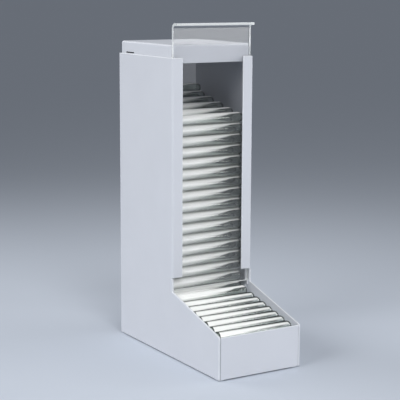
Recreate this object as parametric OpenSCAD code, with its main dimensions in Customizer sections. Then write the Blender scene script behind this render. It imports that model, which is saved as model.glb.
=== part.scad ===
// Culture tube dispenser: a white sheet-plastic tower with a clear lift-up door,
// a sloping feed ramp and an open trough where the next tubes are picked up.
// Frame: +Z up, -Y is the front (trough), origin on the ground under the middle.
// Inside the modules, y runs back from the front face and z up from the panels' bottom edge.

/* [Tubes] */
// Outer diameter of a tube
tube_d = 12.7; // [11.5:0.1:13.2]
// Length of a tube, mouth to round bottom
tube_len = 100; // [90:1:120]
// Glass wall of a tube
tube_wall = 0.8; // [0.5:0.1:1.5]
// Gap between neighbouring tubes
tube_gap = 0.3; // [0.2:0.05:0.5]
// Gap between the front tube and the next one, so that it lifts out freely
lift_gap = 0.6; // [0.5:0.05:0.8]
// Space between a trough tube's mouth and the left side panel
trough_side_gap = 1.2; // [0.6:0.1:2]
// Space between a stored tube's mouth and the left guide strip
tower_side_gap = 0.4; // [0.3:0.1:1]
// Height of the stored tubes just behind the door
fill_h = 292; // [150:1:300]

/* [Body] */
// Thickness of the white sheet
wall_t = 2; // [1.5:0.1:3]
// Depth of the open trough in front of the tower
trough_d = 103.5; // [70:0.5:140]
// Depth of the tower, from its front flanges to its back
tower_d = 129.5; // [100:0.5:160]
// Height of the side panels
panel_h = 353.5; // [345:0.5:420]
// Side panel height above the ramp at the trough's front lip
lip_rise = 10.8; // [8:0.2:14]
// Side panel height above the ramp where the slope meets the tower
slope_rise = 16.9; // [14:0.1:25]
// How far the front panel stops below the lip
front_drop = 1; // [0:0.1:3]
// Radius of the side panels' front lip corner
lip_corner_r = 4.5; // [2:0.5:8]
// Width of the flanges bent in at the tower's front
flange_w = 14; // [10:0.5:20]
// Height of the flanges' lower end above the slope
flange_lift = 16.5; // [8:0.5:40]
// Inner radius of the flange bend
flange_bend_r = 0.8; // [0.4:0.1:3]
// Height of the relief cut under the flange bend
bend_relief = 1.2; // [0.5:0.1:3]

/* [Ramp] */
// Slope of the feed ramp
ramp_angle = 13; // [10:0.5:16]
// Height of the ramp's top at the front panel
ramp_front_h = 39.2; // [25:0.2:50]

/* [Door] */
// Thickness of the clear door
door_t = 3; // [2:0.1:4]
// Gap in front of the door and behind it
door_gap = 0.5; // [0.3:0.05:0.8]
// Gap between the door's side edges and the side panels
door_play = 0.4; // [0.3:0.05:0.8]
// Room above a tube that rolls out under the door
throat_play = 3.4; // [2:0.1:8]
// Height of the door's lip above the side panels
door_rise = 39.5; // [30:0.5:60]
// Reach of the door's lip, from its front edge to the door's back face
lip_reach = 10.6; // [8:0.2:16]
// Inner radius of the door's bend
door_bend_r = 3; // [1:0.2:4]
// Width of the guide strips and stops on the side panels
guide_w = 2; // [1.5:0.1:3]
// Depth of the guide strips behind the door
guide_t = 3; // [2:0.2:5]
// Height of the stop blocks under the door
stop_h = 5; // [3:0.5:6]
// Sideways room for the tubes between the guide strips
tube_play = 3; // [1:0.2:6]

/* [Lid] */
// Height of the lid's skirt
lid_h = 21.7; // [16:0.1:30]
// Depth of the lid inside the side panels
lid_seat = 7; // [4:0.5:12]
// Gap between the lid and the side and back panels
lid_play = 0.4; // [0.3:0.05:0.8]
// Gap between the door and the lid
lid_front_gap = 1.5; // [0.5:0.1:3]
// Inner radius of the lid's top edges
lid_edge_r = 0.5; // [0.2:0.1:2]
// Length of the slot in each side of the lid
slot_len = 19.4; // [10:0.2:30]
// Height of the slot in each side of the lid
slot_h = 1.4; // [0.8:0.1:2]
// Distance of the slot's lower edge above the side panel
slot_lift = 0.7; // [0.4:0.1:2]
// Distance of the slot's middle from the back
slot_back = 23.6; // [18:0.2:60]
// Depth of the ledge that carries the back of the lid
ledge_t = 3; // [2.8:0.1:5]
// Height of the ledge
ledge_h = 8; // [4:0.5:15]

/* [Feet] */
// Diameter of a foot
foot_d = 9.5; // [6:0.5:12]
// Height of a foot
foot_h = 1.5; // [1:0.1:4]
// Distance of a foot's middle from the body's outer faces
foot_inset = 6; // [5:0.5:14]
// Rounding of a foot's lower edge
foot_edge_r = 0.6; // [0.2:0.1:0.9]

/* [Hidden] */
$fn = 64;
slack = 1;
seat_gap = 0.3;
corner_steps = 12;

white = [0.86, 0.87, 0.9];
clear = [0.8, 0.85, 0.85, 0.35];
glass = [0.75, 0.82, 0.8, 0.45];

tube_r = tube_d / 2;
inner_w = tube_len + tube_play + 2 * guide_w;
body_w = inner_w + 2 * wall_t;
body_d = trough_d + tower_d;

// Heights along the ramp's top, at a distance y from the front face
function ramp_z(y) = ramp_front_h + (y - wall_t) * tan(ramp_angle);
function tube_z(y) = ramp_z(y) + (tube_r + seat_gap) / cos(ramp_angle);

lip_z = ramp_front_h + lip_rise;
slope_z = ramp_z(trough_d) + slope_rise;
flange_z = slope_z + flange_lift;
bend_r = wall_t + flange_bend_r;

door_front = trough_d + wall_t + door_gap;
door_back = door_front + door_t;
door_bottom = ramp_z(door_back) + tube_d / cos(ramp_angle) + throat_play;
door_top = panel_h + door_rise;
guide_front = door_back + door_gap;
guide_back = guide_front + guide_t;
guide_top = panel_h - lid_seat;
stop_z = door_bottom - seat_gap - stop_h;

lid_bottom = guide_top + seat_gap;
lid_front = door_back + lid_front_gap;
lid_back = body_d - wall_t - lid_play;
lid_w = inner_w - 2 * lid_play;

// The front stack stands against the door; the gate tube lies in front of it
tube_pitch = tube_d + tube_gap;
tower_mouth_x = -inner_w / 2 + guide_w + tower_side_gap;
trough_mouth_x = -inner_w / 2 + trough_side_gap;
front_stack_y = door_back + tube_gap + tube_r;
front_stack_count = floor((fill_h - tube_z(front_stack_y) - tube_r) / tube_pitch) + 1;
ramp_step = tube_pitch * cos(ramp_angle);
gate_y = front_stack_y - ramp_step;
front_tube_y = wall_t + seat_gap + tube_r;
second_tube_y = front_tube_y + (tube_d + lift_gap) * cos(ramp_angle);
trough_count = floor((gate_y - second_tube_y) / ramp_step);

// The tubes behind the front stack nest in leaning rows, square to the ramp:
// s runs up the ramp and h square to it, both from the ramp's top at the front panel
row_step = tube_pitch * cos(30);
function heap_y(s, h) = wall_t + s * cos(ramp_angle) - h * sin(ramp_angle);
function heap_z(s, h) = ramp_front_h + s * sin(ramp_angle) + h * cos(ramp_angle);
front_top_y = front_stack_y - wall_t;
front_top_z = tube_z(front_stack_y) + (front_stack_count - 1) * tube_pitch - ramp_front_h;
front_top_s = front_top_y * cos(ramp_angle) + front_top_z * sin(ramp_angle);
front_top_h = front_top_z * cos(ramp_angle) - front_top_y * sin(ramp_angle);
heap_y_min = front_stack_y + tube_pitch;
heap_y_max = body_d - wall_t - seat_gap - tube_r;
// The heap is half a tube higher along the back panel
heap_edge_y = heap_y_max - 1.5 * tube_pitch;
function heap_limit(y) = front_top_h + (y > heap_edge_y ? tube_pitch / 2 : 0);
row_reach = front_stack_count + 1;
heap = [
    for (i = [-row_reach : row_reach], j = [0 : row_reach])
        let (
            s = front_top_s + i * row_step,
            h = tube_r + seat_gap + (j + (i % 2 == 0 ? 0.5 : 0)) * tube_pitch,
            y = heap_y(s, h)
        )
        if (h <= heap_limit(y) && y >= heap_y_min && y <= heap_y_max) [y, heap_z(s, h)]
];
// The heap is split into bays of equal depth, one node each
bay_count = 6;
bay_d = (heap_y_max - heap_y_min) / bay_count;
function bay(y) = min(floor((y - heap_y_min) / bay_d) + 1, bay_count);

// Moves a piece from the working frame to the part's own frame
module placed() {
    translate([0, -body_d / 2, foot_h]) children();
}

// A box between two corners
module block(low, high) {
    translate(low) cube(high - low);
}

// A profile drawn in y and z, swept across x
module across(x0, x1) {
    translate([x0, 0, 0]) rotate([90, 0, 90]) linear_extrude(x1 - x0) children();
}

// The right-hand piece of a pair is the left-hand one mirrored
module on_right() {
    mirror([1, 0, 0]) children();
}

// Points on an arc about a centre, from one angle to another
function arc(centre, radius, from, to) = [
    for (step = [0 : corner_steps])
        let (angle = from + (to - from) * step / corner_steps)
        centre + radius * [cos(angle), sin(angle)]
];

// Side view of a panel up to the flange's lower end: the slope runs into a round front
// corner, and a relief cut frees the bend
module lower_outline() {
    slope_angle = atan((slope_z - lip_z) / trough_d);
    corner_z = lip_z + lip_corner_r * (sin(slope_angle) - 1) / cos(slope_angle);
    polygon(concat(
        [
            [0, 0], [body_d, 0], [body_d, flange_z], [trough_d + bend_r, flange_z],
            [trough_d + bend_r, flange_z - bend_relief],
            [trough_d, flange_z - bend_relief], [trough_d, slope_z]
        ],
        arc([lip_corner_r, corner_z], lip_corner_r, 90 + slope_angle, 180)
    ));
}

// Plan of a panel above that: the flange, the bend and the side wall
module upper_plan() {
    centre = [bend_r, bend_r];
    polygon(concat(
        arc(centre, bend_r, 180, 270),
        [[flange_w, 0], [flange_w, wall_t]],
        arc(centre, flange_bend_r, 270, 180),
        [[wall_t, tower_d], [0, tower_d]]
    ));
}

module side_panel() {
    outer_x = -body_w / 2;
    across(outer_x, outer_x + wall_t) lower_outline();
    translate([outer_x, trough_d, flange_z]) linear_extrude(panel_h - flange_z) upper_plan();
}

module left_side_panel() {
    color(white) placed() side_panel();
}

module right_side_panel() {
    color(white) placed() on_right() side_panel();
}

module back_panel() {
    color(white) placed()
        block([-inner_w / 2, body_d - wall_t, 0], [inner_w / 2, body_d, panel_h]);
}

module front_panel() {
    color(white) placed()
        block([-inner_w / 2, 0, 0], [inner_w / 2, wall_t, lip_z - front_drop]);
}

module base_panel() {
    color(white) placed()
        block([-inner_w / 2, wall_t, 0], [inner_w / 2, body_d - wall_t, wall_t]);
}

// Sloping floor from the front panel to the back panel
module feed_ramp() {
    back_y = body_d - wall_t;
    drop = wall_t / cos(ramp_angle);
    color(white) placed() across(-inner_w / 2, inner_w / 2) polygon([
        [wall_t, ramp_front_h - drop], [back_y, ramp_z(back_y) - drop],
        [back_y, ramp_z(back_y)], [wall_t, ramp_front_h]
    ]);
}

// Strip behind the door, from the ramp up; its top end carries the front of the lid
module door_guide() {
    block(
        [-inner_w / 2, guide_front, ramp_z(guide_back)],
        [-inner_w / 2 + guide_w, guide_back, guide_top]
    );
}

module left_door_guide() {
    color(white) placed() door_guide();
}

module right_door_guide() {
    color(white) placed() on_right() door_guide();
}

// Block that the door's lower edge stands on
module door_stop() {
    block(
        [-inner_w / 2, trough_d + wall_t, stop_z],
        [-inner_w / 2 + guide_w, guide_front, stop_z + stop_h]
    );
}

module left_door_stop() {
    color(white) placed() door_stop();
}

module right_door_stop() {
    color(white) placed() on_right() door_stop();
}

// Strip on the back panel that carries the back of the lid
module lid_ledge() {
    color(white) placed() block(
        [-inner_w / 2, body_d - wall_t - ledge_t, guide_top - ledge_h],
        [inner_w / 2, body_d - wall_t, guide_top]
    );
}

// Side view of the door: the flat, the bend and the lip turned to the front
module door_outline() {
    outer_r = door_bend_r + door_t;
    bend_z = door_top - outer_r;
    translate([door_front, door_bottom]) square([door_t, bend_z - door_bottom]);
    translate([door_back - outer_r, bend_z]) intersection() {
        difference() {
            circle(outer_r);
            circle(door_bend_r);
        }
        square(outer_r);
    }
    translate([door_back - lip_reach, door_top - door_t])
        square([lip_reach - outer_r, door_t]);
}

module door() {
    half = inner_w / 2 - door_play;
    color(clear) placed() across(-half, half) door_outline();
}

// A width by height rectangle on the x axis, with its two top corners rounded
module round_top(width, height, radius) {
    difference() {
        square([width, height]);
        for (side = [0, 1])
            translate([side * width, height]) mirror([side, 0]) difference() {
                translate([-slack, -radius]) square([radius + slack, radius + slack]);
                translate([radius, -radius]) circle(radius);
            }
    }
}

// A block with its top edges rounded along both directions
module lid_block(low, width, depth, height, radius) {
    translate(low) intersection() {
        translate([0, depth, 0]) rotate([90, 0, 0])
            linear_extrude(depth) round_top(width, height, radius);
        rotate([90, 0, 90]) linear_extrude(width) round_top(depth, height, radius);
    }
}

// Upside-down tray that drops inside the side panels
module lid() {
    depth = lid_back - lid_front;
    slot_y = body_d - slot_back;
    slot_z = panel_h + slot_lift;
    color(white) placed() difference() {
        lid_block([-lid_w / 2, lid_front, lid_bottom], lid_w, depth, lid_h, lid_edge_r + wall_t);
        lid_block(
            [-lid_w / 2 + wall_t, lid_front + wall_t, lid_bottom - slack],
            lid_w - 2 * wall_t, depth - 2 * wall_t, lid_h - wall_t + slack, lid_edge_r
        );
        block(
            [-body_w / 2, slot_y - slot_len / 2, slot_z],
            [body_w / 2, slot_y + slot_len / 2, slot_z + slot_h]
        );
    }
}

// Round bumper with an eased lower edge
module foot(side, y) {
    r = foot_d / 2;
    color(clear) placed()
        translate([side * (body_w / 2 - foot_inset), y, -foot_h]) rotate_extrude() {
            translate([0, foot_edge_r]) square([r, foot_h - foot_edge_r]);
            square([r - foot_edge_r, foot_edge_r]);
            translate([r - foot_edge_r, foot_edge_r]) intersection() {
                circle(foot_edge_r);
                translate([0, -foot_edge_r]) square(foot_edge_r);
            }
        }
}

module front_left_foot() {
    foot(-1, foot_inset);
}

module front_right_foot() {
    foot(1, foot_inset);
}

module back_left_foot() {
    foot(-1, body_d - foot_inset);
}

module back_right_foot() {
    foot(1, body_d - foot_inset);
}

// Half section of a round-bottomed solid of a tube's shape, mouth at the bottom
module tube_half(radius, length) {
    square([radius, length - radius]);
    translate([0, length - radius]) intersection() {
        circle(radius);
        square(radius);
    }
}

// One tube lying across the body, mouth to the left
module tube(mouth_x, y, z) {
    translate([mouth_x, y, z]) rotate([0, 90, 0]) rotate_extrude() difference() {
        tube_half(tube_r, tube_len);
        translate([0, -slack]) tube_half(tube_r - tube_wall, tube_len - tube_wall + slack);
    }
}

// The next tube to be taken, against the front panel
module front_tube() {
    color(glass) placed() tube(trough_mouth_x, front_tube_y, tube_z(front_tube_y));
}

module trough_tubes() {
    color(glass) placed() for (i = [0 : trough_count - 1]) {
        y = second_tube_y + i * ramp_step;
        tube(trough_mouth_x, y, tube_z(y));
    }
}

// The tube that waits in front of the door's lower edge
module gate_tube() {
    color(glass) placed() tube(tower_mouth_x, gate_y, tube_z(gate_y));
}

module front_stack() {
    color(glass) placed() for (j = [0 : front_stack_count - 1])
        tube(tower_mouth_x, front_stack_y, tube_z(front_stack_y) + j * tube_pitch);
}

// The heap's tubes in bay number n, counted from the front
module tower_tubes(n) {
    color(glass) placed() for (p = heap) if (bay(p[0]) == n) tube(tower_mouth_x, p[0], p[1]);
}

left_side_panel();
right_side_panel();
back_panel();
front_panel();
base_panel();
feed_ramp();
left_door_guide();
right_door_guide();
left_door_stop();
right_door_stop();
lid_ledge();
door();
lid();
front_left_foot();
front_right_foot();
back_left_foot();
back_right_foot();
front_tube();
trough_tubes();
gate_tube();
front_stack();
for (n = [1 : bay_count])
    tower_tubes(n);
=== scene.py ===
# Culture tube dispenser: a white sheet tower with a clear sliding door, which feeds glass tubes
# down a ramp into an open trough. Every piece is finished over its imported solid, in metres.
import math

import bmesh
import bpy
from mathutils import Matrix, Vector


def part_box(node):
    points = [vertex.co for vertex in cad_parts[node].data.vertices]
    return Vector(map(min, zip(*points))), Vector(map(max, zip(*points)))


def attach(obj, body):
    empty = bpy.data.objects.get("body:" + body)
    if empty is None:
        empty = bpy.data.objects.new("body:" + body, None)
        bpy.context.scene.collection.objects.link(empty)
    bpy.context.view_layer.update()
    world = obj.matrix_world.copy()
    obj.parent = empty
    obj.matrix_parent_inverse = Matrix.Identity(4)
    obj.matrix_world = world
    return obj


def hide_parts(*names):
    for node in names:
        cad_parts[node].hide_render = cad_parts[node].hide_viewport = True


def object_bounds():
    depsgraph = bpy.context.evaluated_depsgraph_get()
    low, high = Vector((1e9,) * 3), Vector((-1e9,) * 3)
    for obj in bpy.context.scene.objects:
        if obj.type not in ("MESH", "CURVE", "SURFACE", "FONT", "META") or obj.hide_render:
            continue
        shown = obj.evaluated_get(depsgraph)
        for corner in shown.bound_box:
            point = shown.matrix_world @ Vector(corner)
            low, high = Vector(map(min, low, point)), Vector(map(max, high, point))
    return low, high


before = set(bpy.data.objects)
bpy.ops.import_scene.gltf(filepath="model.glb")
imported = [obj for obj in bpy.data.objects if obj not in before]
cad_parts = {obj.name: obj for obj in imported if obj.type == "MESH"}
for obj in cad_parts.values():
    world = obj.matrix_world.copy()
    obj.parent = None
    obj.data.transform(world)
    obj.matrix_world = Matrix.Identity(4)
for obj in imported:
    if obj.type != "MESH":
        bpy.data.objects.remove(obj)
cad_low, cad_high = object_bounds()
scene = bpy.context.scene
MM = 0.001

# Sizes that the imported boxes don't give
SHEET_EDGE = 0.5 * MM       # how far the cut edges of the white sheet are eased
LID_EDGE = 0.25 * MM        # the lid keeps crisper edges, also round its slot
DOOR_EDGE = 0.35 * MM       # polished edges of the clear door
TUBE_WALL = 0.8 * MM        # glass thickness of the tubes
TUBE_RIM = 0.8 * MM         # fire-polished zone at the mouth of a tube
MERGE = 0.001 * MM          # corners of loose triangles that are one corner
SWEPT_MERGE = 0.01 * MM     # corners of a swept shape that are one corner
FLAT = math.radians(0.5)    # triangles that bend less than this lie in one face
CUT = math.radians(40)      # edges that bend more than this are cut edges, and eased
EASED_STEPS = 3             # faces across an eased edge
RIM_BEND = math.radians(60)  # edges of a tube that bend more than this stay sharp
FINE_TUBE = {"Sides": 32, "Bottom rings": 5}
PLAIN_TUBE = {"Sides": 10, "Bottom rings": 2}
BUMPER_FINENESS = {"Sides": 32, "Rings": 8}

WHITE_PIECES = (
    "left_side_panel", "right_side_panel", "back_panel", "front_panel", "base_panel", "feed_ramp",
    "left_door_guide", "right_door_guide", "left_door_stop", "right_door_stop", "lid_ledge", "lid",
)
WELDED_BETWEEN = ("front_panel", "back_panel", "base_panel")
NEAR_TUBES = ("trough_tubes", "gate_tube", "front_stack")
TOWER_TUBES = tuple(name for name in sorted(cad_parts) if name.startswith("tower_tubes"))
FEET = ("front_left_foot", "front_right_foot", "back_left_foot", "back_right_foot")

# Every tube is the size of the front one, and lies along X with its mouth at the low end
tube_low, tube_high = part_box("front_tube")
tube_length = tube_high.x - tube_low.x
tube_radius = (tube_high.z - tube_low.z) / 2
STREAK_TAPER = 0.82 * tube_length   # the painted streak on a tube in the tower narrows to a line over this length
door_low, door_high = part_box("door")
front_low, front_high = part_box("front_panel")
sheet_thickness = front_high.y - front_low.y


# Helpers for node trees and meshes
def linear(hex_colour):
    """An sRGB hex colour as the linear colour that Blender's sockets take."""
    channels = [int(hex_colour[start:start + 2], 16) / 255 for start in (1, 3, 5)]
    return [c / 12.92 if c <= 0.04045 else ((c + 0.055) / 1.055) ** 2.4 for c in channels] + [1.0]


def add(tree, kind, inputs=(), **settings):
    """Adds a node. Settings go to its properties and inputs to its sockets, linked where one is given."""
    made = tree.nodes.new(kind)
    for name, value in settings.items():
        setattr(made, name, value)
    for key, value in dict(inputs).items():
        if isinstance(value, bpy.types.NodeSocket):
            tree.links.new(value, made.inputs[key])
        else:
            made.inputs[key].default_value = value
    return made


def blank_material(name):
    """A new material with an empty node tree."""
    material = bpy.data.materials.new(name)
    material.use_nodes = True
    material.node_tree.nodes.clear()
    return material


def merged_shape(node):
    """A bmesh of a CAD piece with the corners of its loose triangles joined."""
    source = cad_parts[node].data
    shape = bmesh.new()
    corners = [shape.verts.new(vertex.co) for vertex in source.vertices]
    for triangle in source.polygons:
        shape.faces.new([corners[index] for index in triangle.vertices])
    bmesh.ops.remove_doubles(shape, verts=shape.verts, dist=MERGE)
    return shape


def plain_mesh(piece):
    """Bakes a piece's modifiers into a plain mesh and takes them off."""
    bpy.context.view_layer.update()
    evaluated = piece.evaluated_get(bpy.context.evaluated_depsgraph_get())
    mesh = bpy.data.meshes.new_from_object(evaluated)
    piece.modifiers.clear()
    piece.data = mesh


def eased_copy(node, edge, material, edge_material):
    """A copy of a CAD piece with its cut edges eased, flat on its faces and round on its bends."""
    shape = merged_shape(node)
    bmesh.ops.dissolve_limit(
        shape, angle_limit=FLAT, verts=shape.verts, edges=shape.edges)
    mesh = bpy.data.meshes.new(node + "_finish")
    shape.to_mesh(mesh)
    shape.free()
    mesh.shade_smooth()
    mesh.materials.append(material)
    mesh.materials.append(edge_material)
    piece = bpy.data.objects.new(node + "_finish", mesh)
    scene.collection.objects.link(piece)
    eased = piece.modifiers.new("eased_edges", "BEVEL")
    eased.width = edge
    eased.segments = EASED_STEPS
    eased.limit_method = "ANGLE"
    eased.angle_limit = CUT
    eased.use_clamp_overlap = False
    eased.material = 1
    even = piece.modifiers.new("even_shading", "WEIGHTED_NORMAL")
    even.weight = 100
    even.keep_sharp = True
    plain_mesh(piece)
    return piece


def repaint(piece, material, chosen):
    """Gives the faces that a test picks another material."""
    piece.data.materials.append(material)
    slot = len(piece.data.materials) - 1
    for face in piece.data.polygons:
        if chosen(face):
            face.material_index = slot


def solid_boxes(node):
    """The box of each separate solid in a CAD piece, as (lowest corner, highest corner)."""
    shape = merged_shape(node)
    boxes = []
    for start in shape.verts:
        if start.tag:
            continue
        start.tag = True
        waiting = [start]
        low, high = start.co.copy(), start.co.copy()
        while waiting:
            corner = waiting.pop()
            low = Vector(map(min, low, corner.co))
            high = Vector(map(max, high, corner.co))
            for edge in corner.link_edges:
                other = edge.other_vert(corner)
                if not other.tag:
                    other.tag = True
                    waiting.append(other)
        boxes.append((low, high))
    shape.free()
    return boxes


# Materials
def white_sheet():
    """White acrylic sheet, cast, saw cut and bent warm: cool white with a satin gloss."""
    material = blank_material("white_acrylic_sheet")
    tree = material.node_tree
    place = add(tree, "ShaderNodeTexCoord").outputs["Object"]
    cloud = add(tree, "ShaderNodeTexNoise", {
        "Vector": place, "Scale": 1 / (45 * MM), "Detail": 2.0}).outputs["Fac"]
    shade = add(tree, "ShaderNodeMix", {
        "Factor": cloud, "A": linear("#c7cad1"), "B": linear("#cdd0d7")}, data_type="RGBA")
    # handling leaves the gloss a little uneven, in patches some millimetres wide
    patches = add(tree, "ShaderNodeTexNoise", {
        "Vector": place, "Scale": 1 / (14 * MM), "Detail": 2.0}).outputs["Fac"]
    gloss = add(tree, "ShaderNodeMapRange", {
        "Value": patches, "To Min": 0.42, "To Max": 0.52}).outputs["Result"]
    plastic = add(tree, "ShaderNodeBsdfPrincipled", {
        "Base Color": shade.outputs[2], "Roughness": gloss, "IOR": 1.49,
        "Specular IOR Level": 0.4})
    add(tree, "ShaderNodeOutputMaterial", {"Surface": plastic.outputs["BSDF"]})
    return material


def scraped_edge_highlight():
    """White acrylic edge, scraped and polished after sawing: glossier than the sheet's faces, and painted
    whiter as a highlight along the edges.
    """
    material = blank_material("white_acrylic_edge_highlight")
    tree = material.node_tree
    place = add(tree, "ShaderNodeTexCoord").outputs["Object"]
    # the scraper leaves long, faint chatter marks, drawn 3 mm apart so that they show
    chatter = add(tree, "ShaderNodeTexNoise", {
        "Vector": place, "Scale": 1 / (3 * MM), "Detail": 2.0}).outputs["Fac"]
    gloss = add(tree, "ShaderNodeMapRange", {
        "Value": chatter, "To Min": 0.3, "To Max": 0.4}).outputs["Result"]
    plastic = add(tree, "ShaderNodeBsdfPrincipled", {
        "Base Color": linear("#dee1e5"), "Roughness": gloss, "IOR": 1.49})
    add(tree, "ShaderNodeOutputMaterial", {"Surface": plastic.outputs["BSDF"]})
    return material


def welded_joint_shade():
    """Solvent-welded butt joint: a thin grey line, its grey partly the joint and partly painted shade of the
    groove, uneven along its run.
    """
    material = blank_material("welded_acrylic_joint_shade")
    tree = material.node_tree
    place = add(tree, "ShaderNodeTexCoord").outputs["Object"]
    mottle = add(tree, "ShaderNodeTexNoise", {
        "Vector": place, "Scale": 1 / (6 * MM), "Detail": 2.0}).outputs["Fac"]
    shade = add(tree, "ShaderNodeMix", {
        "Factor": mottle, "A": linear("#6f7379"), "B": linear("#858990")}, data_type="RGBA")
    groove = add(tree, "ShaderNodeBsdfPrincipled", {
        "Base Color": shade.outputs[2], "Roughness": 0.5, "IOR": 1.49})
    add(tree, "ShaderNodeOutputMaterial", {"Surface": groove.outputs["BSDF"]})
    return material


def slot_shade():
    """Acrylic slot walls painted near black as the shade inside the narrow slot, mottled unevenly."""
    material = blank_material("painted_slot_shade")
    tree = material.node_tree
    place = add(tree, "ShaderNodeTexCoord").outputs["Object"]
    slot_mottle = add(tree, "ShaderNodeTexNoise", {
        "Vector": place, "Scale": 1 / (2 * MM), "Detail": 2.0}).outputs["Fac"]
    shade = add(tree, "ShaderNodeMix", {
        "Factor": slot_mottle, "A": linear("#1c1d1e"), "B": linear("#343434")}, data_type="RGBA")
    slot_dark = add(tree, "ShaderNodeBsdfPrincipled", {
        "Base Color": shade.outputs[2], "Roughness": 0.6, "IOR": 1.49})
    add(tree, "ShaderNodeOutputMaterial", {"Surface": slot_dark.outputs["BSDF"]})
    return material


def clear_sheet():
    """Clear acrylic sheet, cast: a flat pane that mirrors the room a little, with faint rub marks."""
    material = blank_material("clear_acrylic_sheet")
    tree = material.node_tree
    place = add(tree, "ShaderNodeTexCoord").outputs["Object"]
    # fingers slide it up and down, so the rub marks run along its height
    along = add(tree, "ShaderNodeMapping", {"Vector": place, "Scale": (1.0, 1.0, 0.12)})
    marks = add(tree, "ShaderNodeTexNoise", {
        "Vector": along.outputs["Vector"], "Scale": 1 / (5 * MM), "Detail": 3.0}).outputs["Fac"]
    gloss = add(tree, "ShaderNodeMapRange", {
        "Value": marks, "To Min": 0.0, "To Max": 0.06}).outputs["Result"]
    # light crosses both faces straight, so each face mirrors as air meeting acrylic does
    behind = add(tree, "ShaderNodeNewGeometry").outputs["Backfacing"]
    bending = add(tree, "ShaderNodeMapRange", {
        "Value": behind, "To Min": 1.49, "To Max": 1 / 1.49}).outputs["Result"]
    share = add(tree, "ShaderNodeFresnel", {"IOR": bending}).outputs["Fac"]
    pane = add(tree, "ShaderNodeBsdfTransparent", {"Color": linear("#fefefe")})
    mirror = add(tree, "ShaderNodeBsdfGlossy", {"Color": linear("#ffffff"), "Roughness": gloss})
    seen = add(tree, "ShaderNodeMixShader", {
        0: share, 1: pane.outputs["BSDF"], 2: mirror.outputs["BSDF"]})
    add(tree, "ShaderNodeOutputMaterial", {"Surface": seen.outputs["Shader"]})
    return material


def clear_edge():
    """Sawn and flame polished acrylic edge: it gathers the light in the sheet and glows pale."""
    material = blank_material("clear_acrylic_edge")
    tree = material.node_tree
    place = add(tree, "ShaderNodeTexCoord").outputs["Object"]
    # what the saw left shows as fine bands, drawn 2 mm apart so that they show
    cuts = add(tree, "ShaderNodeTexNoise", {
        "Vector": place, "Scale": 1 / (2 * MM), "Detail": 2.0}).outputs["Fac"]
    gloss = add(tree, "ShaderNodeMapRange", {
        "Value": cuts, "To Min": 0.1, "To Max": 0.22}).outputs["Result"]
    edge = add(tree, "ShaderNodeBsdfPrincipled", {
        "Base Color": linear("#eef2f1"), "Roughness": gloss, "IOR": 1.49, "Transmission Weight": 0.35})
    add(tree, "ShaderNodeOutputMaterial", {"Surface": edge.outputs["BSDF"]})
    return material


# How the tube glass looks, with its painted light and shade, by how far a face turns from the eye (0 to 1)
# and up from the ground (-1 to 1)
OUTLINE_BEGINS = 0.3
OUTLINE_AT_MOUTH, OUTLINE_AT_BOTTOM = 0.9, 0.6      # where the painted outline shade is darkest
STREAK_AT_TROUGH_MOUTH, STREAK_AT_TROUGH_BOTTOM = 0.05, 0.35
STREAK_AT_TOWER_MOUTH, STREAK_AT_TOWER_BOTTOM = -2.2, 0.72      # below -1 it goes all round
FULL_STREAK_AT_MOUTH, FULL_STREAK_AT_BOTTOM = 0.4, 0.95
MOST_STREAK = 0.88
MOST_CLEAR = 0.97
LINE_BEGINS, LINE_IS_FULL = 0.42, 0.75
LINE_DARKNESS = 0.8
UNSTREAKED_BEGINS = tube_high.x - 1.1 * tube_radius       # the painted streak fades off from here along the tube
UNSTREAKED_IS_FULL = tube_high.x - 0.5 * tube_radius


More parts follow.
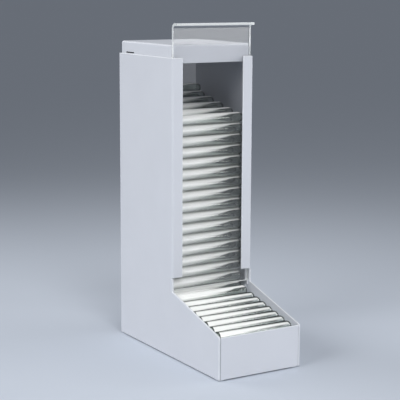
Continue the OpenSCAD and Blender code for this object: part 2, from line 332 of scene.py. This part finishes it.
def tube_glass():
    """Drawn laboratory glass, fire polished at the mouth: clear, with painted dark outlines and painted
    bright streaks of light.
    """
    material = blank_material("drawn_tube_glass")
    tree = material.node_tree
    where = add(tree, "ShaderNodeTexCoord").outputs
    spot = add(tree, "ShaderNodeSeparateXYZ", {"Vector": where["Object"]}).outputs
    along = {"Value": spot["X"], "From Min": tube_low.x, "From Max": tube_high.x}
    # painted shade: dark outlines, thin lines on the sides and a broad one round the bottom
    facing = add(tree, "ShaderNodeLayerWeight", {"Blend": 0.5}).outputs["Facing"]
    darkest = add(tree, "ShaderNodeMapRange", {
        **along, "To Min": OUTLINE_AT_MOUTH, "To Max": OUTLINE_AT_BOTTOM}).outputs["Result"]
    outline = add(tree, "ShaderNodeMapRange", {
        "Value": facing, "From Min": OUTLINE_BEGINS, "From Max": darkest},
        interpolation_type="SMOOTHSTEP").outputs["Result"]
    # a painted highlight on the outer skin stands in for the light: over the whole tube at its mouth, and
    # further along only on its upper side, as a streak that runs out to the round bottom. On the tubes in
    # the open trough the painted streak is an even band, kept off their outlines and bottoms
    inward = {"Value": spot["Y"], "From Min": door_low.y - 2 * tube_radius, "From Max": door_low.y}
    at_mouth = add(tree, "ShaderNodeMapRange", {
        **inward, "To Min": STREAK_AT_TROUGH_MOUTH, "To Max": STREAK_AT_TOWER_MOUTH}).outputs["Result"]
    at_bottom = add(tree, "ShaderNodeMapRange", {
        **inward, "To Min": STREAK_AT_TROUGH_BOTTOM, "To Max": STREAK_AT_TOWER_BOTTOM}).outputs["Result"]
    in_trough = add(tree, "ShaderNodeMapRange", {**inward, "To Min": 1.0, "To Max": 0.0}).outputs["Result"]
    begins = add(tree, "ShaderNodeMapRange", {
        **along, "From Max": tube_low.x + STREAK_TAPER,
        "To Min": at_mouth, "To Max": at_bottom}).outputs["Result"]
    is_full = add(tree, "ShaderNodeMapRange", {
        **along, "To Min": FULL_STREAK_AT_MOUTH, "To Max": FULL_STREAK_AT_BOTTOM}).outputs["Result"]
    upward = add(tree, "ShaderNodeSeparateXYZ", {"Vector": where["Normal"]}).outputs["Z"]
    painted_streak = add(tree, "ShaderNodeMapRange", {
        "Value": upward, "From Min": begins, "From Max": is_full, "To Max": MOST_STREAK},
        interpolation_type="SMOOTHSTEP").outputs["Result"]
    on_bottom = add(tree, "ShaderNodeMapRange", {
        **along, "From Min": UNSTREAKED_BEGINS, "From Max": UNSTREAKED_IS_FULL},
        interpolation_type="SMOOTHSTEP").outputs["Result"]
    streak_off = add(tree, "ShaderNodeMath", {0: outline, 1: on_bottom}, operation="MAXIMUM").outputs["Value"]
    streak_off = add(tree, "ShaderNodeMath", {0: streak_off, 1: in_trough}, operation="MULTIPLY").outputs["Value"]
    left = add(tree, "ShaderNodeMath", {0: 1.0, 1: streak_off}, operation="SUBTRACT").outputs["Value"]
    painted_streak = add(tree, "ShaderNodeMath", {0: painted_streak, 1: left}, operation="MULTIPLY").outputs["Value"]
    outside = add(tree, "ShaderNodeAttribute", attribute_name="outside").outputs["Fac"]
    painted_streak = add(tree, "ShaderNodeMath", {0: painted_streak, 1: outside}, operation="MULTIPLY").outputs["Value"]
    clear = add(tree, "ShaderNodeMath", {0: MOST_CLEAR, 1: painted_streak}, operation="SUBTRACT").outputs["Value"]
    # the rim is painted with the same shade, as dark as the clear part of the outline
    outline_shade = add(tree, "ShaderNodeMath", {0: outline, 1: clear}, operation="MULTIPLY").outputs["Value"]
    rim = add(tree, "ShaderNodeAttribute", attribute_name="rim").outputs["Fac"]
    outline_shade = add(tree, "ShaderNodeMath", {0: outline_shade, 1: rim}, operation="MAXIMUM").outputs["Value"]
    tint = add(tree, "ShaderNodeMix", {
        "Factor": outline_shade, "A": linear("#e6eae7"), "B": linear("#444846")}, data_type="RGBA")
    # the painted streak turns the glass a pale white
    tint = add(tree, "ShaderNodeMix", {
        "Factor": painted_streak, "A": tint.outputs[2], "B": linear("#fdfdfb")}, data_type="RGBA")
    glass = add(tree, "ShaderNodeBsdfPrincipled", {
        "Base Color": tint.outputs[2], "Roughness": 0.0, "IOR": 1.47, "Transmission Weight": clear})
    # on the tubes in the trough, where the painted streak is kept off the outline, a thin line of painted
    # shade follows it
    line = add(tree, "ShaderNodeMapRange", {
        "Value": facing, "From Min": LINE_BEGINS, "From Max": LINE_IS_FULL, "To Max": in_trough},
        interpolation_type="SMOOTHSTEP").outputs["Result"]
    line = add(tree, "ShaderNodeMath", {0: line, 1: LINE_DARKNESS}, operation="MULTIPLY").outputs["Value"]
    dark_line = add(tree, "ShaderNodeBsdfDiffuse", {"Color": linear("#2c302e")})
    glass = add(tree, "ShaderNodeMixShader", {
        0: line, 1: glass.outputs["BSDF"], 2: dark_line.outputs["BSDF"]})
    # light that falls on other things passes straight through the thin walls
    through = add(tree, "ShaderNodeBsdfTransparent", {"Color": linear("#f0f2f1")})
    path = add(tree, "ShaderNodeLightPath").outputs
    passing = add(tree, "ShaderNodeMath", {
        0: path["Is Shadow Ray"], 1: path["Is Diffuse Ray"]}, operation="MAXIMUM").outputs["Value"]
    seen = add(tree, "ShaderNodeMixShader", {
        0: passing, 1: glass.outputs["Shader"], 2: through.outputs["BSDF"]})
    add(tree, "ShaderNodeOutputMaterial", {"Surface": seen.outputs["Shader"]})
    return material


def clear_bumper():
    """Cast clear polyurethane: soft, slightly milky, with a dull skin from standing on benches."""
    material = blank_material("clear_polyurethane")
    tree = material.node_tree
    place = add(tree, "ShaderNodeTexCoord").outputs["Object"]
    mottle = add(tree, "ShaderNodeTexNoise", {
        "Vector": place, "Scale": 1 / (1.5 * MM), "Detail": 2.0}).outputs["Fac"]
    gloss = add(tree, "ShaderNodeMapRange", {
        "Value": mottle, "To Min": 0.32, "To Max": 0.5}).outputs["Result"]
    rubber = add(tree, "ShaderNodeBsdfPrincipled", {
        "Base Color": linear("#f0f3f4"), "Roughness": gloss, "IOR": 1.5, "Transmission Weight": 0.15})
    add(tree, "ShaderNodeOutputMaterial", {"Surface": rubber.outputs["BSDF"]})
    return material


SHEET = white_sheet()
SHEET_RIM_HIGHLIGHT = scraped_edge_highlight()
JOINT_SHADE = welded_joint_shade()
SLOT_SHADE = slot_shade()
DOOR = clear_sheet()
CUT_EDGE = clear_edge()
GLASS = tube_glass()
BUMPER = clear_bumper()


# Trees for what repeats
def new_tree(name, inputs):
    """A Geometry Nodes tree with named inputs. Returns it with its input sockets by name."""
    tree = bpy.data.node_groups.new(name, "GeometryNodeTree")
    tree.interface.new_socket("Pieces", in_out="OUTPUT", socket_type="NodeSocketGeometry")
    for label, kind in inputs.items():
        tree.interface.new_socket(label, in_out="INPUT", socket_type=kind)
    return tree, tree.nodes.new("NodeGroupInput").outputs


def tube_maker():
    """Lays a round-bottomed tube along +X from each point, which is the middle of its mouth."""
    tree, given = new_tree("tube_maker", {
        "Mouths": "NodeSocketGeometry", "Radius": "NodeSocketFloat", "Length": "NodeSocketFloat",
        "Wall": "NodeSocketFloat", "Rim": "NodeSocketFloat", "Sides": "NodeSocketInt",
        "Bottom rings": "NodeSocketInt", "Material": "NodeSocketMaterial"})
    # a path along the tube's axis: the mouth, the rim, the end of the straight wall, the round bottom
    count = add(tree, "ShaderNodeMath", {0: given["Bottom rings"], 1: 3.0}, operation="ADD")
    line = add(tree, "GeometryNodeCurvePrimitiveLine")
    path = add(tree, "GeometryNodeResampleCurve", {
        "Curve": line.outputs["Curve"], "Count": count.outputs[0]})
    index = add(tree, "GeometryNodeInputIndex").outputs["Index"]
    ring = add(tree, "ShaderNodeMath", {0: index, 1: 2.0}, operation="SUBTRACT")
    ring = add(tree, "ShaderNodeMath", {0: ring.outputs[0], 1: 0.0}, operation="MAXIMUM")
    share = add(tree, "ShaderNodeMath", {0: ring.outputs[0], 1: given["Bottom rings"]}, operation="DIVIDE")
    angle = add(tree, "ShaderNodeMath", {0: share.outputs[0], 1: math.pi / 2}, operation="MULTIPLY")
    along = add(tree, "ShaderNodeMath", {0: angle.outputs[0]}, operation="SINE")
    across = add(tree, "ShaderNodeMath", {0: angle.outputs[0]}, operation="COSINE")
    straight = add(tree, "ShaderNodeMath", {0: given["Length"], 1: given["Radius"]}, operation="SUBTRACT")
    reach = add(tree, "ShaderNodeMath", {
        0: along.outputs[0], 1: given["Radius"], 2: straight.outputs[0]}, operation="MULTIPLY_ADD")
    near_mouth = add(tree, "ShaderNodeMath", {0: index, 1: given["Rim"]}, operation="MULTIPLY")
    is_near = add(tree, "FunctionNodeCompare", {2: index, 3: 1}, data_type="INT", operation="LESS_EQUAL")
    reach = add(tree, "GeometryNodeSwitch", {
        "Switch": is_near.outputs["Result"], "False": reach.outputs[0],
        "True": near_mouth.outputs[0]}, input_type="FLOAT")
    spot = add(tree, "ShaderNodeCombineXYZ", {"X": reach.outputs[0]})
    axis = add(tree, "GeometryNodeSetPosition", {
        "Geometry": path.outputs["Curve"], "Position": spot.outputs["Vector"]})
    circle = add(tree, "GeometryNodeCurvePrimitiveCircle", {
        "Resolution": given["Sides"], "Radius": given["Radius"]})
    swept = add(tree, "GeometryNodeCurveToMesh", {
        "Curve": axis.outputs["Geometry"], "Profile Curve": circle.outputs["Curve"],
        "Scale": across.outputs[0]})
    outside = add(tree, "GeometryNodeMergeByDistance", {
        "Geometry": swept.outputs["Mesh"], "Distance": SWEPT_MERGE}).outputs["Geometry"]
    # the glass reads which faces are on the rim, and which are on the outer skin past the rim
    middle = add(tree, "GeometryNodeInputPosition").outputs["Position"]
    from_mouth = add(tree, "ShaderNodeSeparateXYZ", {"Vector": middle}).outputs["X"]
    past_rim = add(tree, "ShaderNodeMath", {0: from_mouth, 1: given["Rim"]}, operation="GREATER_THAN")
    on_rim = add(tree, "ShaderNodeMath", {0: from_mouth, 1: given["Rim"]}, operation="LESS_THAN")
    marked = add(tree, "GeometryNodeStoreNamedAttribute", {
        "Geometry": outside, "Name": "outside", "Value": past_rim.outputs[0]},
        data_type="FLOAT", domain="FACE")
    # the bore is the same skin moved in by the wall and turned round, joined at the rim
    inward = add(tree, "ShaderNodeMath", {0: given["Wall"], 1: -1.0}, operation="MULTIPLY")
    bore = add(tree, "GeometryNodeExtrudeMesh", {
        "Mesh": outside, "Offset Scale": inward.outputs[0], "Individual": False}, mode="FACES")
    bore = add(tree, "GeometryNodeFlipFaces", {"Mesh": bore.outputs["Mesh"]})
    both = add(tree, "GeometryNodeJoinGeometry", {"Geometry": bore.outputs["Mesh"]})
    tree.links.new(marked.outputs["Geometry"], both.inputs["Geometry"])
    joined = add(tree, "GeometryNodeMergeByDistance", {
        "Geometry": both.outputs["Geometry"], "Distance": SWEPT_MERGE})
    tube = add(tree, "GeometryNodeStoreNamedAttribute", {
        "Geometry": joined.outputs["Geometry"], "Name": "rim", "Value": on_rim.outputs[0]},
        data_type="FLOAT", domain="FACE")
    bend = add(tree, "GeometryNodeInputMeshEdgeAngle").outputs["Unsigned Angle"]
    sharp = add(tree, "FunctionNodeCompare", {"A": bend, "B": RIM_BEND}, operation="GREATER_THAN")
    shaded = add(tree, "GeometryNodeSetShadeSmooth", {
        "Geometry": tube.outputs["Geometry"], "Selection": sharp.outputs["Result"],
        "Shade Smooth": False}, domain="EDGE")
    laid = add(tree, "GeometryNodeInstanceOnPoints", {
        "Points": given["Mouths"], "Instance": shaded.outputs["Geometry"]})
    real = add(tree, "GeometryNodeRealizeInstances", {"Geometry": laid.outputs["Instances"]})
    dressed = add(tree, "GeometryNodeSetMaterial", {
        "Geometry": real.outputs["Geometry"], "Material": given["Material"]})
    add(tree, "NodeGroupOutput", {"Pieces": dressed.outputs["Geometry"]})
    return tree


def bumper_maker():
    """Hangs a low round bumper under each point, which is the middle of its stuck face."""
    tree, given = new_tree("bumper_maker", {
        "Places": "NodeSocketGeometry", "Radius": "NodeSocketFloat", "Height": "NodeSocketFloat",
        "Sides": "NodeSocketInt", "Rings": "NodeSocketInt", "Material": "NodeSocketMaterial"})
    count = add(tree, "ShaderNodeMath", {0: given["Rings"], 1: 1.0}, operation="ADD")
    line = add(tree, "GeometryNodeCurvePrimitiveLine")
    path = add(tree, "GeometryNodeResampleCurve", {
        "Curve": line.outputs["Curve"], "Count": count.outputs[0]})
    index = add(tree, "GeometryNodeInputIndex").outputs["Index"]
    share = add(tree, "ShaderNodeMath", {0: index, 1: given["Rings"]}, operation="DIVIDE")
    angle = add(tree, "ShaderNodeMath", {0: share.outputs[0], 1: math.pi / 2}, operation="MULTIPLY")
    drop = add(tree, "ShaderNodeMath", {0: angle.outputs[0]}, operation="SINE")
    drop = add(tree, "ShaderNodeMath", {0: drop.outputs[0], 1: given["Height"]}, operation="MULTIPLY")
    drop = add(tree, "ShaderNodeMath", {0: drop.outputs[0], 1: -1.0}, operation="MULTIPLY")
    spot = add(tree, "ShaderNodeCombineXYZ", {"Z": drop.outputs[0]})
    axis = add(tree, "GeometryNodeSetPosition", {
        "Geometry": path.outputs["Curve"], "Position": spot.outputs["Vector"]})
    # a full, flat-bottomed dome: the fourth root keeps its side steep and its sole broad
    width = add(tree, "ShaderNodeMath", {0: angle.outputs[0]}, operation="COSINE")
    width = add(tree, "ShaderNodeMath", {0: width.outputs[0], 1: 0.0}, operation="MAXIMUM")
    width = add(tree, "ShaderNodeMath", {0: width.outputs[0], 1: 0.25}, operation="POWER")
    circle = add(tree, "GeometryNodeCurvePrimitiveCircle", {
        "Resolution": given["Sides"], "Radius": given["Radius"]})
    swept = add(tree, "GeometryNodeCurveToMesh", {
        "Curve": axis.outputs["Geometry"], "Profile Curve": circle.outputs["Curve"],
        "Scale": width.outputs[0], "Fill Caps": True})
    dome = add(tree, "GeometryNodeMergeByDistance", {
        "Geometry": swept.outputs["Mesh"], "Distance": SWEPT_MERGE})
    hung = add(tree, "GeometryNodeInstanceOnPoints", {
        "Points": given["Places"], "Instance": dome.outputs["Geometry"]})
    real = add(tree, "GeometryNodeRealizeInstances", {"Geometry": hung.outputs["Instances"]})
    dressed = add(tree, "GeometryNodeSetMaterial", {
        "Geometry": real.outputs["Geometry"], "Material": given["Material"]})
    add(tree, "NodeGroupOutput", {"Pieces": dressed.outputs["Geometry"]})
    return tree


def repeated(name, tree, points, values):
    """A plain mesh piece that a tree makes on a list of points, with its inputs set by name."""
    mesh = bpy.data.meshes.new(name)
    mesh.from_pydata(points, [], [])
    piece = bpy.data.objects.new(name, mesh)
    scene.collection.objects.link(piece)
    maker = piece.modifiers.new(name, "NODES")
    maker.node_group = tree
    for item in tree.interface.items_tree:
        if item.in_out == "INPUT" and item.name in values:
            maker[item.identifier] = values[item.name]
    plain_mesh(piece)
    return piece


# White sheet pieces: the welded ones show a joint line, partly painted shade, where they meet the sides, and
# the lid's slot walls are painted dark as shade
for node in WHITE_PIECES:
    low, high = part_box(node)
    middle = (low + high) / 2
    reach = (high - low) / 2
    if node == "lid":
        panel = eased_copy(node, LID_EDGE, SHEET, SHEET_RIM_HIGHLIGHT)
        # the slot's walls get painted shade
        repaint(panel, SLOT_SHADE, lambda face: (
            abs(face.center.x) > reach.x - sheet_thickness and abs(face.normal.x) < 0.9
            and abs(face.center.y - middle.y) < reach.y - 2 * sheet_thickness
            and low.z + sheet_thickness < face.center.z < middle.z))
    else:
        panel = eased_copy(node, SHEET_EDGE, SHEET, SHEET_RIM_HIGHLIGHT)
    if node in WELDED_BETWEEN:
        # the joint faces are painted grey: partly the joint line, partly painted shade of the groove
        repaint(panel, JOINT_SHADE, lambda face: (
            face.material_index == 1 and abs(face.center.x) > reach.x - SHEET_EDGE))
    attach(panel, "lid" if node == "lid" else "body")
    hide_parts(node)

# Clear door, with its cut edges pale
door = eased_copy("door", DOOR_EDGE, DOOR, DOOR)
repaint(door, CUT_EDGE, lambda face: min(
    face.center.x - door_low.x, door_high.x - face.center.x,
    face.center.y - door_low.y, face.center.z - door_low.z) < DOOR_EDGE)
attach(door, "door")
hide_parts("door")

# Glass tubes: finer where they can be seen whole, plainer in the heap behind
TUBES = tube_maker()


def tubes(name, nodes, fineness, body):
    """One piece with a tube in the place of every solid in the given CAD nodes."""
    boxes = [box for node in nodes for box in solid_boxes(node)]
    mouths = [(low.x, (low.y + high.y) / 2, (low.z + high.z) / 2) for low, high in boxes]
    piece = repeated(name, TUBES, mouths, {
        "Radius": tube_radius, "Length": tube_length, "Wall": TUBE_WALL, "Rim": TUBE_RIM,
        "Material": GLASS, **fineness})
    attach(piece, body)
    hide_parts(*nodes)


tubes("near_glass_tubes", NEAR_TUBES, FINE_TUBE, "body")
tubes("tower_glass_tubes", TOWER_TUBES, PLAIN_TUBE, "body")
tubes("front_glass_tube", ("front_tube",), FINE_TUBE, "front_tube")

# Stick-on bumpers under the four corners
foot_boxes = [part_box(node) for node in FEET]
foot_low, foot_high = foot_boxes[0]
bumpers = repeated(
    "stick_on_bumpers", bumper_maker(),
    [((low.x + high.x) / 2, (low.y + high.y) / 2, high.z) for low, high in foot_boxes],
    {"Radius": (foot_high.x - foot_low.x) / 2, "Height": foot_high.z - foot_low.z,
     "Material": BUMPER, **BUMPER_FINENESS})
bumpers.data.shade_smooth()
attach(bumpers, "body")
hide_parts(*FEET)

# Camera, from the photograph: where it stands, how it is turned, and its lens
CAMERA_PLACE = Vector((-0.76867, -1.24021, 0.44024))
CAMERA_TURN = math.radians(-31.459)
CAMERA_TILT = math.radians(9.949)
CAMERA_ROLL = math.radians(0.26)
CAMERA_LENS = 111.6     # mm, in front of a sensor 36 mm wide
CAMERA_SENSOR = 36

back = Vector((
    math.sin(CAMERA_TURN) * math.cos(CAMERA_TILT),
    -math.cos(CAMERA_TURN) * math.cos(CAMERA_TILT),
    math.sin(CAMERA_TILT)))
right = (-back).cross(Vector((0, 0, 1))).normalized()
up = right.cross(-back)
rolled_right = right * math.cos(CAMERA_ROLL) + up * math.sin(CAMERA_ROLL)
rolled_up = up * math.cos(CAMERA_ROLL) - right * math.sin(CAMERA_ROLL)
lens = bpy.data.cameras.new("camera")
lens.lens = CAMERA_LENS
lens.sensor_width = CAMERA_SENSOR
lens.clip_end = 200
camera = bpy.data.objects.new("camera", lens)
camera.matrix_world = Matrix.Translation(CAMERA_PLACE) @ Matrix(
    (rolled_right, rolled_up, back)).transposed().to_4x4()
scene.collection.objects.link(camera)
scene.camera = camera

# Floor: one wide pale sheet that fills the view
FLOOR_REACH = 60.0
FLOOR_COLOUR = "#c2c9d4"
floor_mesh = bpy.data.meshes.new("floor")
floor_mesh.from_pydata(
    [(x * FLOOR_REACH, y * FLOOR_REACH, 0) for x, y in ((-1, -1), (1, -1), (1, 1), (-1, 1))],
    [], [(0, 1, 2, 3)])
floor = bpy.data.objects.new("floor", floor_mesh)
scene.collection.objects.link(floor)
paper = blank_material("floor_paper")
paper_face = add(paper.node_tree, "ShaderNodeBsdfPrincipled", {
    "Base Color": linear(FLOOR_COLOUR), "Roughness": 0.7})
add(paper.node_tree, "ShaderNodeOutputMaterial", {"Surface": paper_face.outputs["BSDF"]})
floor_mesh.materials.append(paper)

# Soft studio light: softboxes all round, with grids that keep their light off the floor beside them
MIDDLE = (cad_low + cad_high) / 2
BEAM = math.radians(80)
SKY_COLOUR = "#eef2f8"
SKY_STRENGTH = 0.3


# Each softbox: azimuth and elevation in degrees, distance, width and height in metres, power in watts
SOFTBOXES = {
    "key_softbox": (67, 16, 1.5, 0.8, 0.8, 1.85),
    "front_softbox": (33, 15.1, 1.8, 0.45, 0.8, 0.85),
    "high_softbox": (-15, 55, 1.8, 0.6, 0.6, 1.8),
    "low_softbox": (-12, 6, 1.8, 0.5, 0.3, 1.25),
    "left_softbox": (-82, 26, 1.7, 1.2, 0.8, 3.5),
    "back_softbox": (215, 35, 1.8, 1.0, 1.0, 2.4),
}


def softbox(name, azimuth, elevation, distance, width, height, power):
    """An area lamp aimed at the object's middle. Azimuth 0 is the front and 90 the right side."""
    turn, rise = math.radians(azimuth), math.radians(elevation)
    away = Vector((math.sin(turn) * math.cos(rise), -math.cos(turn) * math.cos(rise), math.sin(rise)))
    lamp = bpy.data.lights.new(name, "AREA")
    lamp.shape = "RECTANGLE"
    lamp.size = width
    lamp.size_y = height
    lamp.energy = power
    lamp.spread = BEAM
    holder = bpy.data.objects.new(name, lamp)
    holder.matrix_world = Matrix.Translation(MIDDLE + away * distance) @ (
        away.to_track_quat("Z", "Y").to_matrix().to_4x4())
    scene.collection.objects.link(holder)


for name, settings in SOFTBOXES.items():
    softbox(name, *settings)

# A dim even sky lights the rest. Where it is seen it looks as the far floor does, so no horizon shows
sky = bpy.data.worlds.new("sky")
sky.use_nodes = True
sky.node_tree.nodes.clear()
rays = add(sky.node_tree, "ShaderNodeLightPath").outputs
looked_at = add(sky.node_tree, "ShaderNodeMath", {
    0: rays["Is Camera Ray"], 1: rays["Is Glossy Ray"]}, operation="MAXIMUM").outputs["Value"]
looked_at = add(sky.node_tree, "ShaderNodeMath", {
    0: looked_at, 1: rays["Is Transmission Ray"]}, operation="MAXIMUM").outputs["Value"]
far_floor = [ground * light for ground, light in zip(linear(FLOOR_COLOUR), linear(SKY_COLOUR))]
tone = add(sky.node_tree, "ShaderNodeMix", {
    "Factor": looked_at, "A": linear(SKY_COLOUR), "B": far_floor}, data_type="RGBA")
glow = add(sky.node_tree, "ShaderNodeBackground", {"Color": tone.outputs[2], "Strength": SKY_STRENGTH})
add(sky.node_tree, "ShaderNodeOutputWorld", {"Surface": glow.outputs["Background"]})
scene.world = sky
scene.view_settings.view_transform = "Standard"
